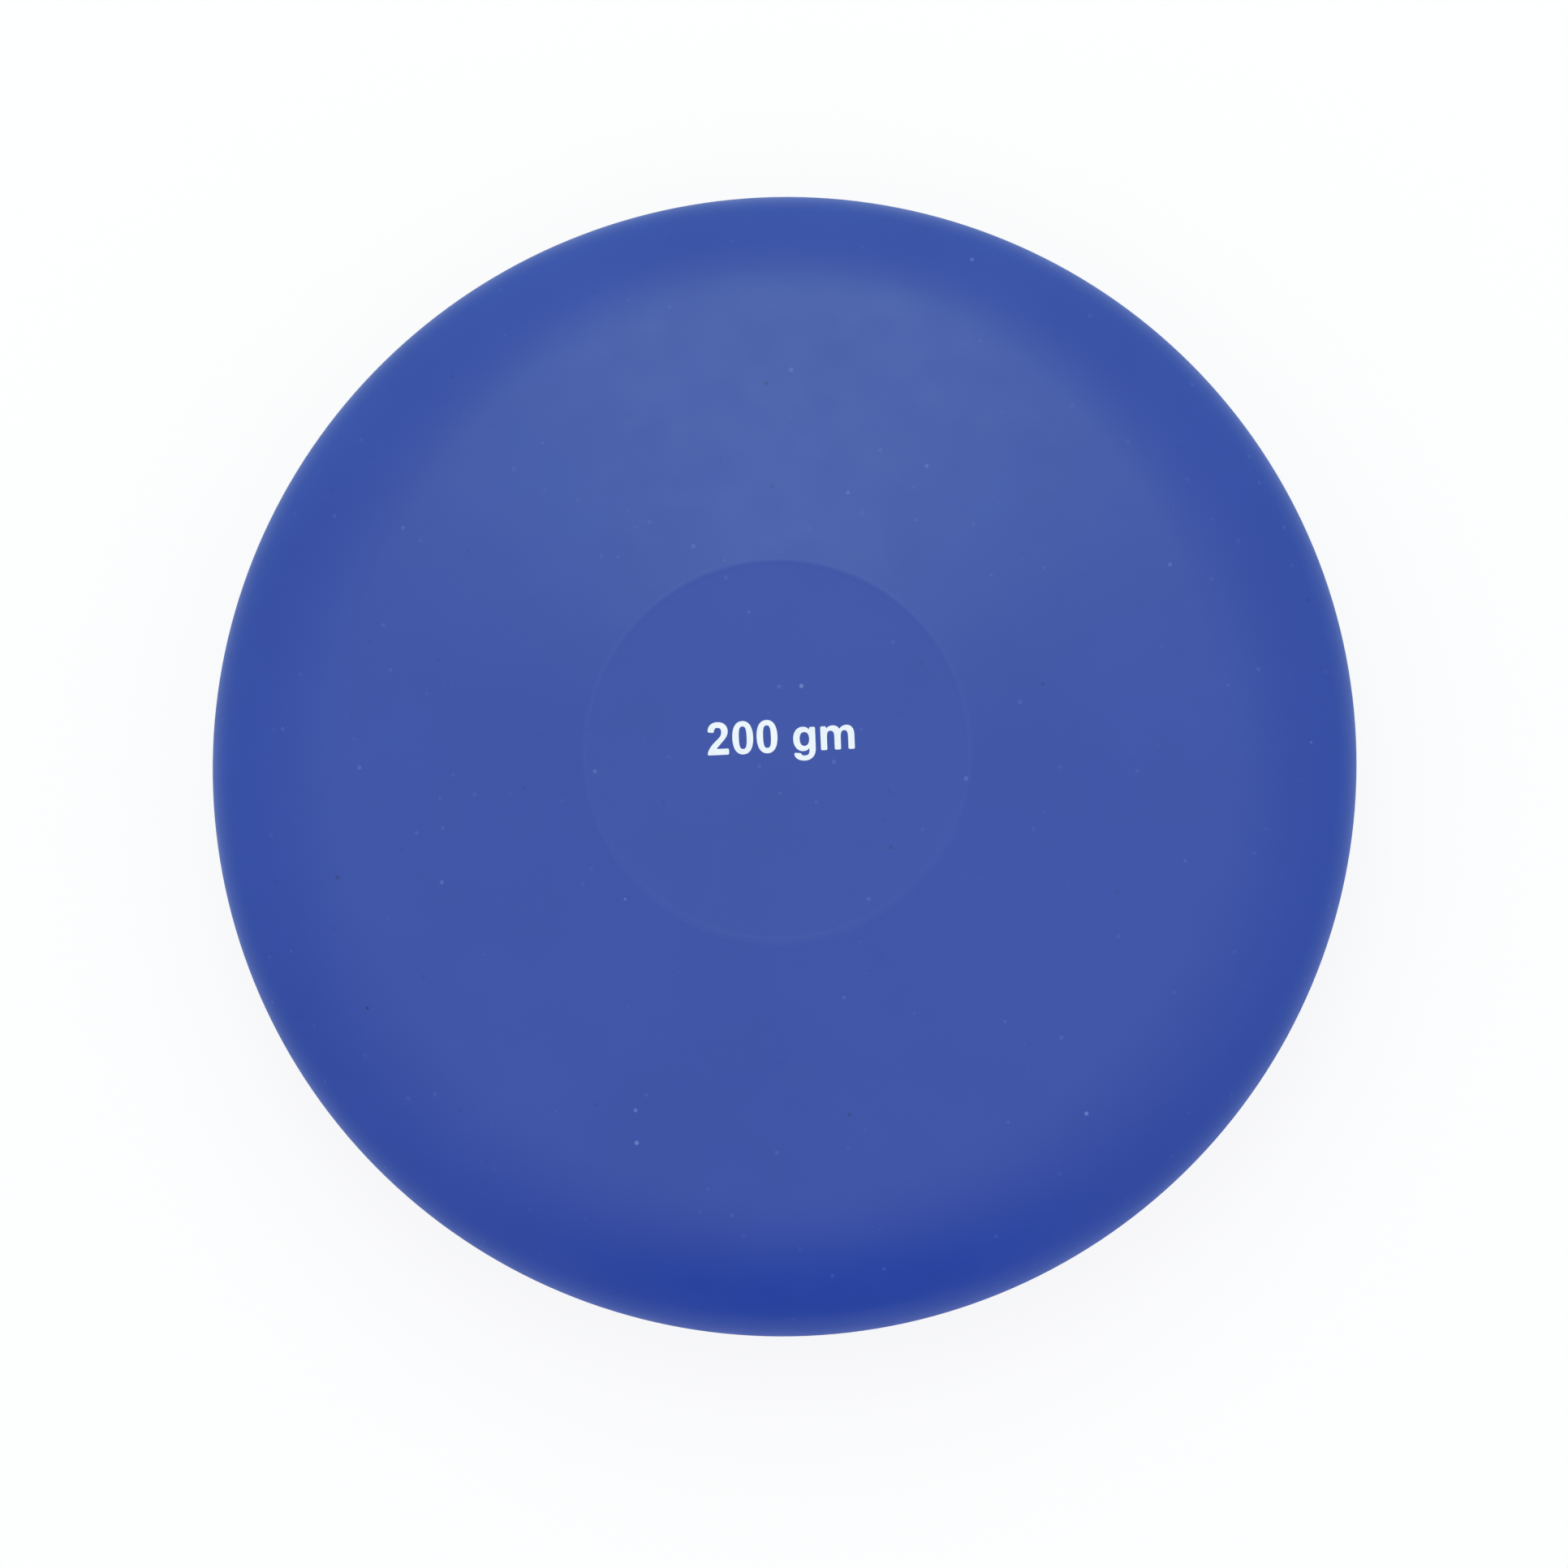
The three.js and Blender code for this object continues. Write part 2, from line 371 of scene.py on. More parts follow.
def filledRubberMaterial():
    # Vinyl loaded with ground barytes, compression moulded: near black, dull, with pale mineral flecks
    look = {
        "black": "#26272a",
        "grey": "#343538",
        "cloudSize": 8,
        "cloudDetail": 6,
        "cloudBand": (0.35, 0.65),
        "fleck": "#77767a",
        "fleckSpacing": 1.7,
        "fleckRadius": 0.22,
        "fleckHeart": 0.6,  # share of the radius that is evenly pale
        "cloudHeight": 0.15,
        "heightShare": 0.6,  # share of that height that the shading shows
        "roughness": 0.78,
        "ior": 1.52,
    }
    material, tree = newMaterial("mineralFilledRubber")
    here = inMillimetres(tree)
    clouds = addNode(tree, "ShaderNodeTexNoise", Vector=here, Scale=1 / look["cloudSize"],
                     Detail=look["cloudDetail"])
    colour = addNode(tree, "ShaderNodeValToRGB", Fac=clouds.outputs[0])
    setStops(colour, look["cloudBand"], [srgb(look["black"]), srgb(look["grey"])])
    flecks = addNode(tree, "ShaderNodeTexVoronoi", Vector=here, Scale=1 / look["fleckSpacing"])
    edge = look["fleckRadius"] / look["fleckSpacing"]
    shows = addNode(tree, "ShaderNodeValToRGB", Fac=flecks.outputs["Distance"])
    setStops(shows, (edge * look["fleckHeart"], edge), (1.0, 0.0))
    flecked = addNode(tree, "ShaderNodeMix", {"data_type": "RGBA"}, _0=shows.outputs[0],
                      _6=colour.outputs[0], _7=srgb(look["fleck"]))
    bumpy = addNode(tree, "ShaderNodeBump", Height=clouds.outputs[0],
                    Distance=look["cloudHeight"] * mm, Strength=look["heightShare"])
    shader = addNode(tree, "ShaderNodeBsdfPrincipled", Base_Color=flecked.outputs[2],
                     Roughness=look["roughness"], IOR=look["ior"], Normal=bumpy.outputs[0])
    addNode(tree, "ShaderNodeOutputMaterial", Surface=shader.outputs[0])
    return material


def dryGritMaterial():
    # Washed and dried silica grit, sieved near 1 mm: each grain its own tan, grey or amber
    look = {
        "dark": "#8f7748",
        "tan": "#b99f6d",
        "pale": "#ddcfae",
        "toneStops": (0.1, 0.5, 0.9),
        "grainSize": 1.0,
        "grainDepth": 0.5,
        "roughness": 0.85,
        "ior": 1.54,
    }
    material, tree = newMaterial("dryGrit")
    here = inMillimetres(tree)
    grains = addNode(tree, "ShaderNodeTexVoronoi", Vector=here, Scale=1 / look["grainSize"])
    tone = addNode(tree, "ShaderNodeSeparateColor", Color=grains.outputs["Color"])
    colour = addNode(tree, "ShaderNodeValToRGB", Fac=tone.outputs[0])
    setStops(colour, look["toneStops"], [srgb(look["dark"]), srgb(look["tan"]), srgb(look["pale"])])
    bumpy = addNode(tree, "ShaderNodeBump", {"invert": True}, Height=grains.outputs["Distance"],
                    Distance=look["grainDepth"] * mm, Strength=1)
    shader = addNode(tree, "ShaderNodeBsdfPrincipled", Base_Color=colour.outputs[0],
                     Roughness=look["roughness"], IOR=look["ior"], Normal=bumpy.outputs[0])
    addNode(tree, "ShaderNodeOutputMaterial", Surface=shader.outputs[0])
    return material


softPvc = softPvcMaterial()
padInk = padInkMaterial()
foam = closedCellFoamMaterial()
filledRubber = filledRubberMaterial()
dryGrit = dryGritMaterial()
print("materials made")


# Half shells, and the plug's sizes, which the lower one's seat and hole follow

plug = {
    "headRadius": 7 * mm,
    "headThickness": 1.2 * mm,
    "dimple": 0.35 * mm,  # hollow in the head that the thumb or punch pushes on
    "dimpleRadius": 4.2 * mm,
    "stemRadius": 4 * mm,
    "barbRadius": 5.2 * mm,
    "barbLength": 3 * mm,
    "tipRadius": 3 * mm,
    "sink": 0.3 * mm,
    "bossRadius": 9 * mm,
    "bossHeight": 1.8 * mm,
    # roundings: radius and segments
    "seatRound": (0.3 * mm, 4),
    "bossRound": (0.3 * mm, 3),
    "dimpleFootRound": (0.5 * mm, 4),
    "dimpleTopRound": (0.4 * mm, 4),
    "headRound": (0.35 * mm, 5),
    "barbRound": (0.3 * mm, 3),
    "tipRound": (0.8 * mm, 5),
    "turns": 128,
}


def drawOuterFace(bm, last):
    # from the dished flat to the parting line, and gives the three corners that are rounded later
    s = skin
    normal, _, shoulderCentre, rimCentre, tilt = sectionArcs()
    lipFoot, lipTop, flankEnd = drawOn(bm, [
        (s["flatRadius"] - s["lipWidth"], s["halfThickness"] - s["lipRise"]),
        (s["flatRadius"], s["halfThickness"]),
        shoulderCentre + normal * s["shoulderRadius"],
    ], last)
    shoulderEnd = sweepOn(bm, flankEnd, shoulderCentre, tilt - s["flankTilt"], s["shoulderSteps"])
    seam = sweepOn(bm, shoulderEnd, rimCentre, math.pi / 2 - tilt, s["rimSteps"])
    return lipFoot, lipTop, seam


def roundOuterFace(bm, lipFoot, lipTop, seam):
    roundCorner(bm, lipFoot, *skin["lipFootRound"])
    roundCorner(bm, lipTop, *skin["lipTopRound"])
    roundCorner(bm, seam, *skin["seamRound"])


def tongueSides(clearance):
    # distance from the axis of the far and near side of the tongue, or of its groove
    s = skin
    middle = s["radius"] - s["rimWall"] / 2
    return middle + s["tongueWidth"] / 2 + clearance, middle - s["tongueWidth"] / 2 - clearance


def innerFace():
    # corners of the inner face: foot and top of the thick rim wall, shoulder, edge of the flat
    s = skin
    flat, shoulder, rim = sectionCorners(s["wall"])
    band = s["radius"] - s["rimWall"]
    slope = (rim.y - shoulder.y) / (rim.x - shoulder.x)
    return [(band, 0), (band, rim.y + slope * (band - rim.x)), shoulder, flat]


def roundInnerFace(bm, bandTop, shoulder):
    s = skin
    roundCorner(bm, bandTop, *s["bandRound"])
    roundCorner(bm, shoulder, s["shoulderRadius"] - s["wall"], s["innerSteps"])


def sinkDish(bm):
    # the long edge across the flat is cut up and laid on the shallow bowl
    s = skin
    across = [edge for edge in bm.edges
              if all(vert.co.z > s["halfThickness"] - s["wall"] / 2 and vert.co.x < s["flatRadius"]
                     for vert in edge.verts)]
    bowl = max(across, key=lambda edge: edge.calc_length())
    cut = bmesh.ops.subdivide_edges(bm, edges=[bowl], cuts=s["dishSteps"])
    for vert in cut["geom_inner"]:
        vert.co.z = flatHeight(vert.co.x)


def makeUpperSkin():
    s = skin
    far, near = tongueSides(0)
    foot = -s["tongueHeight"]
    face = innerFace()
    bm = bmesh.new()
    middle, = drawOn(bm, [(0, flatHeight(0))])
    outer = drawOuterFace(bm, middle)
    tongue = drawOn(bm, [(far, 0), (far, foot), (near, foot), (near, 0)], outer[-1])
    inner = drawOn(bm, [*face, (0, face[-1].y)], tongue[-1])
    roundOuterFace(bm, *outer)
    roundCorner(bm, tongue[1], *s["tongueRound"])
    roundCorner(bm, tongue[2], *s["tongueRound"])
    roundInnerFace(bm, inner[1], inner[2])
    sinkDish(bm)
    return spinProfile("upper_skin", bm, s["turns"])


def makeLowerSkin():
    s, p = skin, plug
    seatRadius = p["headRadius"] + s["fit"]
    holeRadius = p["stemRadius"] + s["fit"]
    seatHeight = s["halfThickness"] - p["sink"] - p["headThickness"] - s["fit"]
    far, near = tongueSides(s["fit"])
    depth = s["tongueHeight"] + s["fit"]
    face = innerFace()
    flat = face[-1].y
    bossTop = flat - p["bossHeight"]
    bm = bmesh.new()
    seat = drawOn(bm, [(holeRadius, seatHeight), (seatRadius, seatHeight),
                       (seatRadius, flatHeight(seatRadius))])
    outer = drawOuterFace(bm, seat[-1])
    groove = drawOn(bm, [(far, 0), (far, depth), (near, depth), (near, 0)], outer[-1])
    inner = drawOn(bm, face, groove[-1])
    boss = drawOn(bm, [(p["bossRadius"], flat), (p["bossRadius"], bossTop), (holeRadius, bossTop)],
                  inner[-1])
    bm.edges.new((boss[-1], seat[0]))
    roundOuterFace(bm, *outer)
    roundCorner(bm, seat[-1], *p["seatRound"])
    roundInnerFace(bm, inner[1], inner[2])
    roundCorner(bm, boss[1], *p["bossRound"])
    sinkDish(bm)
    return spinProfile("lower_skin", bm, s["turns"], flipped=True)


dress(makeUpperSkin(), softPvc, "soft_pvc", "upper_shell")
dress(makeLowerSkin(), softPvc, "soft_pvc", "lower_shell")
print("half shells made")


# Plug in the middle of the lower face

def makePlug():
    s, p = skin, plug
    head = s["halfThickness"] - p["sink"]
    hollow = head - p["dimple"]
    shoulder = head - p["headThickness"]
    barbBase = s["halfThickness"] - s["wall"] - p["bossHeight"] - s["fit"]
    tip = barbBase - p["barbLength"]
    bm = bmesh.new()
    dimple = drawOn(bm, [(0, hollow), (p["dimpleRadius"] - p["dimple"], hollow), (p["dimpleRadius"], head)])
    stem = drawOn(bm, [(p["headRadius"], head), (p["headRadius"], shoulder), (p["stemRadius"], shoulder),
                       (p["stemRadius"], barbBase)], dimple[-1])
    barb = drawOn(bm, [(p["barbRadius"], barbBase), (p["tipRadius"], tip), (0, tip)], stem[-1])
    roundCorner(bm, dimple[1], *p["dimpleFootRound"])
    roundCorner(bm, dimple[2], *p["dimpleTopRound"])
    roundCorner(bm, stem[0], *p["headRound"])
    roundCorner(bm, barb[0], *p["barbRound"])
    roundCorner(bm, barb[1], *p["tipRound"])
    return spinProfile("push_in_plug", bm, p["turns"], flipped=True)


dress(makePlug(), softPvc, "soft_pvc", "fill_plug")
print("plug made")


# Core halves, ballast ring and grit, which the shells hide

core = {
    "wellRadius": 10 * mm,
    "lipWidth": 4 * mm,  # how far each half reaches over the ballast ring
    "wellRound": (0.8 * mm, 4),
    "lipRound": (0.5 * mm, 3),
    "turns": 192,
}

ballast = {
    "width": 6 * mm,
    "height": 7 * mm,
    "cornerRound": (1.5 * mm, 6),
    "turns": 192,
}

grit = {
    "grainHeight": 0.25 * mm,
    "grainSize": 1.1 * mm,
    # cuts that give the grains points to move: roof and wall of the plug's pocket, underside,
    # outer wall, top
    "sideCuts": (8, 4, 6, 36, 14),
    "turns": 72,
}


def makeCoreHalf(name, flipped=False):
    s, c = skin, core
    ringInner = s["radius"] - s["rimWall"] - s["fit"] - ballast["width"]
    grip = ringInner - s["fit"]
    lipRadius = grip + c["lipWidth"]
    lipHeight = ballast["height"] / 2 + s["fit"]
    parting = s["fit"] / 2
    flat, shoulder, rim = sectionCorners(s["wall"] + s["fit"])
    slope = (rim.y - shoulder.y) / (rim.x - shoulder.x)
    lipTop = shoulder.y + slope * (lipRadius - shoulder.x)
    bm = bmesh.new()
    well = drawOn(bm, [(c["wellRadius"], parting), (c["wellRadius"], flat.y)])
    face = drawOn(bm, [flat, shoulder, (lipRadius, lipTop)], well[-1])
    ledge = drawOn(bm, [(lipRadius, lipHeight), (grip, lipHeight), (grip, parting)], face[-1])
    bm.edges.new((ledge[-1], well[0]))
    roundCorner(bm, well[1], *c["wellRound"])
    roundCorner(bm, face[1], s["shoulderRadius"] - s["wall"] - s["fit"], s["innerSteps"])
    roundCorner(bm, face[2], *c["lipRound"])
    return spinProfile(name, bm, c["turns"], flipped)


def makeBallastRing():
    s, b = skin, ballast
    outer = s["radius"] - s["rimWall"] - s["fit"]
    inner = outer - b["width"]
    half = b["height"] / 2
    bm = bmesh.new()
    corners = drawOn(bm, [(inner, -half), (outer, -half), (outer, half), (inner, half)])
    bm.edges.new((corners[-1], corners[0]))
    for corner in corners:
        roundCorner(bm, corner, *b["cornerRound"])
    return spinProfile("ballast_hoop", bm, b["turns"])


def makeGrit():
    s, p, g = skin, plug, grit
    radius = core["wellRadius"] - s["fit"]
    top = s["halfThickness"] - s["wall"] - s["fit"]
    bottom = -(s["halfThickness"] - s["wall"] - p["bossHeight"] - s["fit"])
    pocket = p["barbRadius"] + s["fit"]
    pocketTop = bottom + p["barbLength"] + s["fit"]
    bm = bmesh.new()
    drawOn(bm, [(0, pocketTop), (pocket, pocketTop), (pocket, bottom), (radius, bottom), (radius, top),
                (0, top)])
    for edge, cuts in zip(bm.edges[:], g["sideCuts"]):
        bmesh.ops.subdivide_edges(bm, edges=[edge], cuts=cuts)
    piece = spinProfile("loose_grit", bm, g["turns"])
    texture = bpy.data.textures.new("gritGrains", "VORONOI")
    texture.noise_scale = g["grainSize"]
    grains = piece.modifiers.new("grains", "DISPLACE")
    grains.texture = texture
    grains.texture_coords = "LOCAL"
    grains.strength = -g["grainHeight"]
    grains.mid_level = 0
    return piece


dress(makeCoreHalf("upper_foam"), foam, "foam", "upper_core")
dress(makeCoreHalf("lower_foam", flipped=True), foam, "foam", "lower_core")
dress(makeBallastRing(), filledRubber, "ballast_rubber", "ballast_ring")
dress(makeGrit(), dryGrit, "grit", "trim_fill")
print("inner pieces made")


# Weight mark, printed on the upper flat

mark = {  # in millimetres, because Blender's fill is unsure of curves under a few thousandths of a unit
    "em": 5.92,
    "emUnits": 1000,
    "narrowing": 0.962,
    "left": -9.2,
    "baseline": -0.13,
    "inkSpread": 0.02,
    "cornerCut": 0.17,
    "cutShare": 0.45,  # the most of a side that a cut corner may take
    "cornerAngle": math.radians(155),  # a blunter bend than this isn't a corner
    "film": 0.03,
    "curveSteps": 10,
    "weldDistance": 0.002,
    "straightAngle": math.radians(0.5),  # points where the edge turns less than this go
}

# Outlines of a plain bold sans in thousandths of the em, with the ink on the right of each. A point
# is (x, y) at a corner, or (x, y, handleInX, handleInY, handleOutX, handleOutY) on a curve.
glyphs = {
    "2": (556, [[
        (38, 508, 38, 508, 48, 640), (262, 719, 118, 719, 405, 719), (492, 515, 492, 640, 492, 465),
        (440, 372, 474, 418, 385, 302), (212, 127, 250, 168, 212, 127), (505, 127), (505, 0),
        (22, 0, 22, 0, 28, 82), (125, 213, 70, 148, 190, 285), (300, 378, 268, 344, 335, 417),
        (349, 507, 349, 455, 349, 568), (258, 602, 318, 602, 205, 602), (175, 494, 180, 566, 175, 494),
    ]]),
    "0": (556, [
        [(278, 719, 125, 719, 431, 719), (513, 354, 513, 590, 513, 118),
         (278, -12, 431, -12, 125, -12), (43, 354, 43, 118, 43, 590)],
        [(278, 607, 342, 607, 214, 607), (184, 354, 184, 560, 184, 150),
         (278, 100, 214, 100, 342, 100), (371, 354, 371, 150, 371, 560)],
    ]),
    " ": (278, []),
    "g": (611, [
        [(545, 519), (545, 53, 545, 53, 545, -120), (287, -211, 440, -211, 130, -211),
         (58, -35, 58, -130, 58, -35), (215, -54, 215, -54, 222, -92), (290, -106, 245, -106, 385, -106),
         (408, 30, 408, -60, 408, 30), (408, 76, 408, 76, 370, 24), (262, 0, 322, 0, 130, 0),
         (44, 262, 44, 110, 44, 430), (265, 531, 130, 531, 330, 531), (417, 446, 375, 505, 417, 446),
         (417, 519)],
        [(296, 420, 365, 420, 230, 420), (185, 267, 185, 370, 185, 160),
         (293, 106, 228, 106, 362, 106), (410, 262, 410, 165, 410, 365)],
    ]),
    "m": (889, [[
        (187, 519), (187, 449, 187, 449, 228, 504), (340, 531, 280, 531, 410, 531),
        (492, 436, 462, 500, 535, 500), (655, 531, 590, 531, 760, 531), (828, 330, 828, 460, 828, 330),
        (828, 0), (691, 0), (691, 285, 691, 285, 691, 380), (600, 422, 660, 422, 545, 422),
        (513, 250, 513, 370, 513, 250), (513, 0), (376, 0), (376, 290, 376, 290, 376, 380),
        (285, 422, 345, 422, 225, 422), (198, 252, 198, 380, 198, 252), (198, 0), (61, 0), (61, 519),
    ]]),
}


def waysAt(points, i):
    # the outline's directions at one of its points: back the way it came, and ahead
    here, handleIn, handleOut = points[i]
    before, after = points[i - 1], points[(i + 1) % len(points)]
    back = next(place - here for place in (handleIn, before[2], before[0]) if place != here)
    ahead = next(place - here for place in (handleOut, after[1], after[0]) if place != here)
    return back.normalized(), ahead.normalized()


def spreadInk(points):
    # each edge moves outwards, because wet ink creeps a little past the printing plate's edge
    spread = mark["inkSpread"]
    grown = []
    for i, (here, handleIn, handleOut) in enumerate(points):
        back, ahead = waysAt(points, i)
        outIn, outOut = Vector((back.y, -back.x)), Vector((-ahead.y, ahead.x))
        moved = here + (outIn + outOut) * spread / (1 + outIn.dot(outOut))
        grown.append((moved, moved if handleIn == here else handleIn + outIn * spread,
                      moved if handleOut == here else handleOut + outOut * spread))
    return grown


def softenCorners(points):
    # each corner becomes two points with a short curve between them, as wet ink rounds it
    cut, share = mark["cornerCut"], mark["cutShare"]
    soft = []
    for i, (here, handleIn, handleOut) in enumerate(points):
        back, ahead = waysAt(points, i)
        if back.angle(ahead) > mark["cornerAngle"]:
            soft.append((here, handleIn, handleOut))
            continue
        before, after = points[i - 1][0], points[(i + 1) % len(points)][0]
        first = here + back * min(cut, (before - here).length * share)
        second = here + ahead * min(cut, (after - here).length * share)
        soft.append((first, first if handleIn == here else handleIn, (first + here) / 2))
        soft.append((second, (second + here) / 2, second if handleOut == here else handleOut))
    return soft


def letterScale():
    # millimetres across and up in one unit of the em
    high = mark["em"] / mark["emUnits"]
    return high * mark["narrowing"], high


def placeOutline(outline, pen):
    # one outline of a letter at the pen, each point with the handles before and after it
    wide, high = letterScale()
    points = []
    for corner in outline:
        pairs = zip(corner[::2], corner[1::2])
        places = [Vector((pen + x * wide, mark["baseline"] + y * high)) for x, y in pairs]
        points.append(places if len(places) == 3 else places * 3)
    return softenCorners(spreadInk(points))


def addSpline(curve, points):
    spline = curve.splines.new("BEZIER")
    spline.bezier_points.add(len(points) - 1)
    spline.use_cyclic_u = True
    for point, (here, handleIn, handleOut) in zip(spline.bezier_points, points):
        point.handle_left_type = point.handle_right_type = "FREE"
        point.co = here.to_3d()
        point.handle_left = handleIn.to_3d()
        point.handle_right = handleOut.to_3d()


def fillLetters(text):
    # the text as one flat mesh
    curve = bpy.data.curves.new("weightMark", "CURVE")
    curve.dimensions = "2D"
    curve.fill_mode = "BOTH"
    curve.resolution_u = mark["curveSteps"]
    wide, _ = letterScale()
    pen = mark["left"]
    for letter in text:
        advance, outlines = glyphs[letter]
        for outline in outlines:
            addSpline(curve, placeOutline(outline, pen))
        pen += advance * wide
    holder = bpy.data.objects.new("markCurve", curve)
    bpy.context.scene.collection.objects.link(holder)
    bpy.context.view_layer.update()
    flat = bpy.data.meshes.new_from_object(holder.evaluated_get(bpy.context.evaluated_depsgraph_get()))
    bpy.data.objects.remove(holder)
    return flat


def makeWeightMark(text):
    m = mark
    flat = fillLetters(text)
    bm = bmesh.new()
    bm.from_mesh(flat)
    bpy.data.meshes.remove(flat)
    bmesh.ops.remove_doubles(bm, verts=bm.verts[:], dist=m["weldDistance"])
    bmesh.ops.dissolve_limit(bm, angle_limit=m["straightAngle"], verts=bm.verts[:], edges=bm.edges[:])
    bmesh.ops.triangulate(bm, faces=bm.faces[:])
    raised = bmesh.ops.extrude_face_region(bm, geom=bm.faces[:])
    tops = [item for item in raised["geom"] if isinstance(item, bmesh.types.BMVert)]
    bmesh.ops.translate(bm, verts=tops, vec=(0, 0, m["film"]))
    bmesh.ops.scale(bm, verts=bm.verts[:], vec=(mm, mm, mm))
    for vert in bm.verts:
        vert.co.z += flatHeight(vert.co.xy.length)
    bmesh.ops.recalc_face_normals(bm, faces=bm.faces[:])
    return newPiece("weight_mark", bm)


dress(makeWeightMark("200 gm"), padInk, "soft_pvc")
print("weight mark made")


# Studio: a paper floor, one softbox, and the light tent round them

paper = {
    "size": 6.0,
    "colour": "#cce0ff",
    "whiteShare": 0.87,  # how far the camera sees the floor as plain white
}

softbox = {
    "distance": 1.3,
    "size": 0.8,
    "lean": 35,  # degrees from overhead towards +Y
    "power": 3.4,
    "colour": "#d8ffe0",
}

tent = {
    "heights": (0.0, 0.34, 0.7, 1.0),  # sines of the heights at which the walls' light is given
    "north": (0.6, 0.75, 0.8, 1.1),
    "south": ([0.5, 0.5, 0.6, 1], [0.5, 0.6, 0.8, 1], 0.95, 1.1),
    "screenLean": -65,  # a blue screen in front of the object, degrees from overhead
    "screenInner": 5,  # degrees from its middle out to which its colour is full
    "screenOuter": 38,  # and at which it has faded out
    "screenColour": (0.3, 0.3, 0.9, 1),
}


def makeFloor():
    bm = bmesh.new()
    bmesh.ops.create_grid(bm, x_segments=1, y_segments=1, size=paper["size"] / 2)
    bmesh.ops.translate(bm, verts=bm.verts[:], vec=(0, 0, -skin["halfThickness"]))
    floor = newPiece("floor", bm)
    material, tree = newMaterial("studioFloor")
    path = addNode(tree, "ShaderNodeLightPath")
    seen = addNode(tree, "ShaderNodeMix", {"data_type": "RGBA"}, _0=path.outputs["Is Camera Ray"],
                   _6=srgb(paper["colour"]), _7=(1, 1, 1, 1))
    matt = addNode(tree, "ShaderNodeBsdfDiffuse", Color=seen.outputs[2])
    white = addNode(tree, "ShaderNodeEmission", Strength=1)
    share = addNode(tree, "ShaderNodeMath", {"operation": "MULTIPLY"},
                    _0=path.outputs["Is Camera Ray"], _1=paper["whiteShare"])
    mixed = addNode(tree, "ShaderNodeMixShader", _0=share.outputs[0], _1=matt.outputs[0],
                    _2=white.outputs[0])
    addNode(tree, "ShaderNodeOutputMaterial", Surface=mixed.outputs[0])
    floor.data.materials.append(material)


def makeSoftbox():
    b = softbox
    light = bpy.data.lights.new("softbox", "AREA")
    light.shape = "SQUARE"
    light.size = b["size"]
    light.energy = b["power"]
    light.color = srgb(b["colour"])[:3]
    holder = bpy.data.objects.new("softbox", light)
    lean = math.radians(b["lean"])
    direction = Vector((0, math.sin(lean), math.cos(lean)))
    holder.location = direction * b["distance"]
    holder.rotation_euler = direction.to_track_quat("Z", "Y").to_euler()
    holder.visible_camera = False
    bpy.context.scene.collection.objects.link(holder)


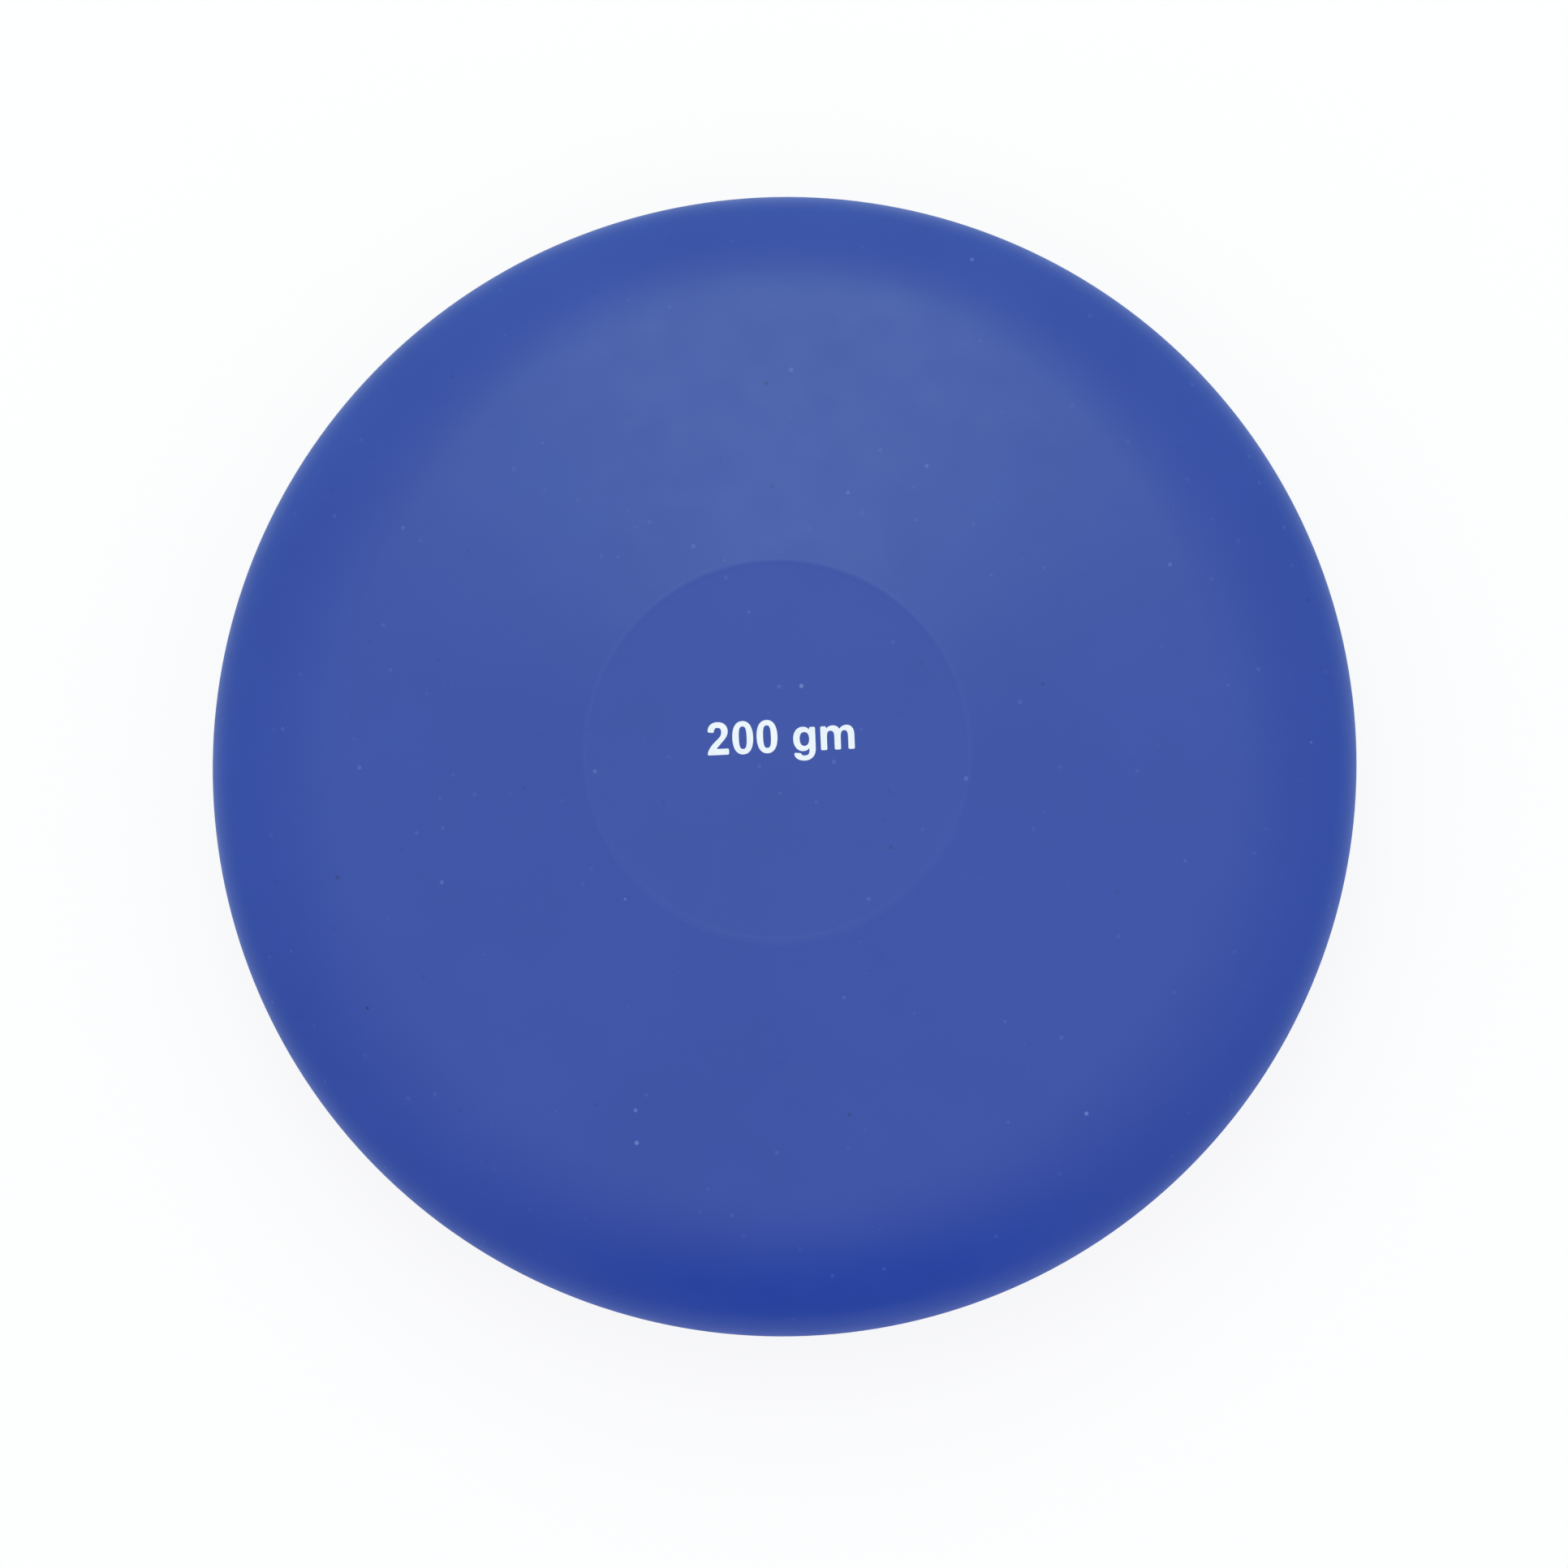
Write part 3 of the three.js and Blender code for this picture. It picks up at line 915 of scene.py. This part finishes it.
def makeTent():
    t = tent
    world = bpy.data.worlds.new("lightTent")
    bpy.context.scene.world = world
    world.use_nodes = True
    tree = world.node_tree
    tree.nodes.clear()
    direction = addNode(tree, "ShaderNodeTexCoord").outputs["Generated"]
    axes = addNode(tree, "ShaderNodeSeparateXYZ", Vector=direction)
    wall = {}
    for side in ("north", "south"):
        wall[side] = addNode(tree, "ShaderNodeValToRGB", Fac=axes.outputs[2])
        setStops(wall[side], t["heights"], t[side])
    northShare = addNode(tree, "ShaderNodeMapRange", Value=axes.outputs[1],
                         From_Min=-1, From_Max=1, To_Min=0, To_Max=1)
    walls = addNode(tree, "ShaderNodeMix", {"data_type": "RGBA"}, _0=northShare.outputs[0],
                    _6=wall["south"].outputs[0], _7=wall["north"].outputs[0])
    screenAt = math.radians(t["screenLean"])
    towards = addNode(tree, "ShaderNodeVectorMath", {"operation": "DOT_PRODUCT"}, _0=direction,
                      _1=(0, math.sin(screenAt), math.cos(screenAt)))
    outer, inner = (math.cos(math.radians(t[limit])) for limit in ("screenOuter", "screenInner"))
    screen = addNode(tree, "ShaderNodeMapRange", {"interpolation_type": "SMOOTHSTEP"},
                     Value=towards.outputs["Value"], From_Min=outer, From_Max=inner, To_Min=0, To_Max=1)
    glow = addNode(tree, "ShaderNodeMix", {"data_type": "RGBA", "blend_type": "MULTIPLY"},
                   _0=screen.outputs[0], _6=walls.outputs[2], _7=t["screenColour"])
    lit = addNode(tree, "ShaderNodeBackground", Color=glow.outputs[2], Strength=1)
    seen = addNode(tree, "ShaderNodeBackground", Color=(1, 1, 1, 1), Strength=1)
    path = addNode(tree, "ShaderNodeLightPath")
    mixed = addNode(tree, "ShaderNodeMixShader", _0=path.outputs["Is Camera Ray"],
                    _1=lit.outputs[0], _2=seen.outputs[0])
    addNode(tree, "ShaderNodeOutputWorld", Surface=mixed.outputs[0])


makeFloor()
makeSoftbox()
makeTent()
print("studio made")


# Camera at the photograph's angle: nearly overhead, leaning towards the lower right

camera = {
    "distance": 3.0,
    "tilt": 6.5,  # degrees off the axis
    "leanTo": -65.3,  # direction of that lean in the picture, degrees from its right
    "roll": 2.4,  # degrees by which the line of text rises in the picture
    "frameWidth": 205.4 * mm,  # what the picture spans at the middle of the discus
    "aimUp": -2.44 * mm,  # the picture's middle lies this far above the middle of the discus
    "sensor": 36,  # millimetres, as the lens is
    "clipNear": 0.1,
    "clipFar": 20,
}


def makeCamera():
    c = camera
    lens = bpy.data.cameras.new("camera")
    lens.sensor_width = c["sensor"]
    lens.lens = c["sensor"] * c["distance"] / c["frameWidth"]
    lens.clip_start = c["clipNear"]
    lens.clip_end = c["clipFar"]
    holder = bpy.data.objects.new("camera", lens)
    bpy.context.scene.collection.objects.link(holder)
    roll = math.radians(-c["roll"])
    right, up = (Vector((math.cos(roll + turn), math.sin(roll + turn), 0)) for turn in (0, math.pi / 2))
    lean = math.radians(c["leanTo"])
    tilt = math.radians(c["tilt"])
    sideways = right * math.cos(lean) + up * math.sin(lean)
    back = (sideways * math.sin(tilt) + Vector((0, 0, math.cos(tilt)))).normalized()
    across = up.cross(back).normalized()
    upward = back.cross(across)
    place = upward * c["aimUp"] + back * c["distance"]
    facing = Matrix((across, upward, back)).transposed().to_4x4()
    holder.matrix_world = Matrix.Translation(place) @ facing
    bpy.context.scene.camera = holder


makeCamera()
bpy.context.scene.view_settings.view_transform = "Standard"
print("camera made")
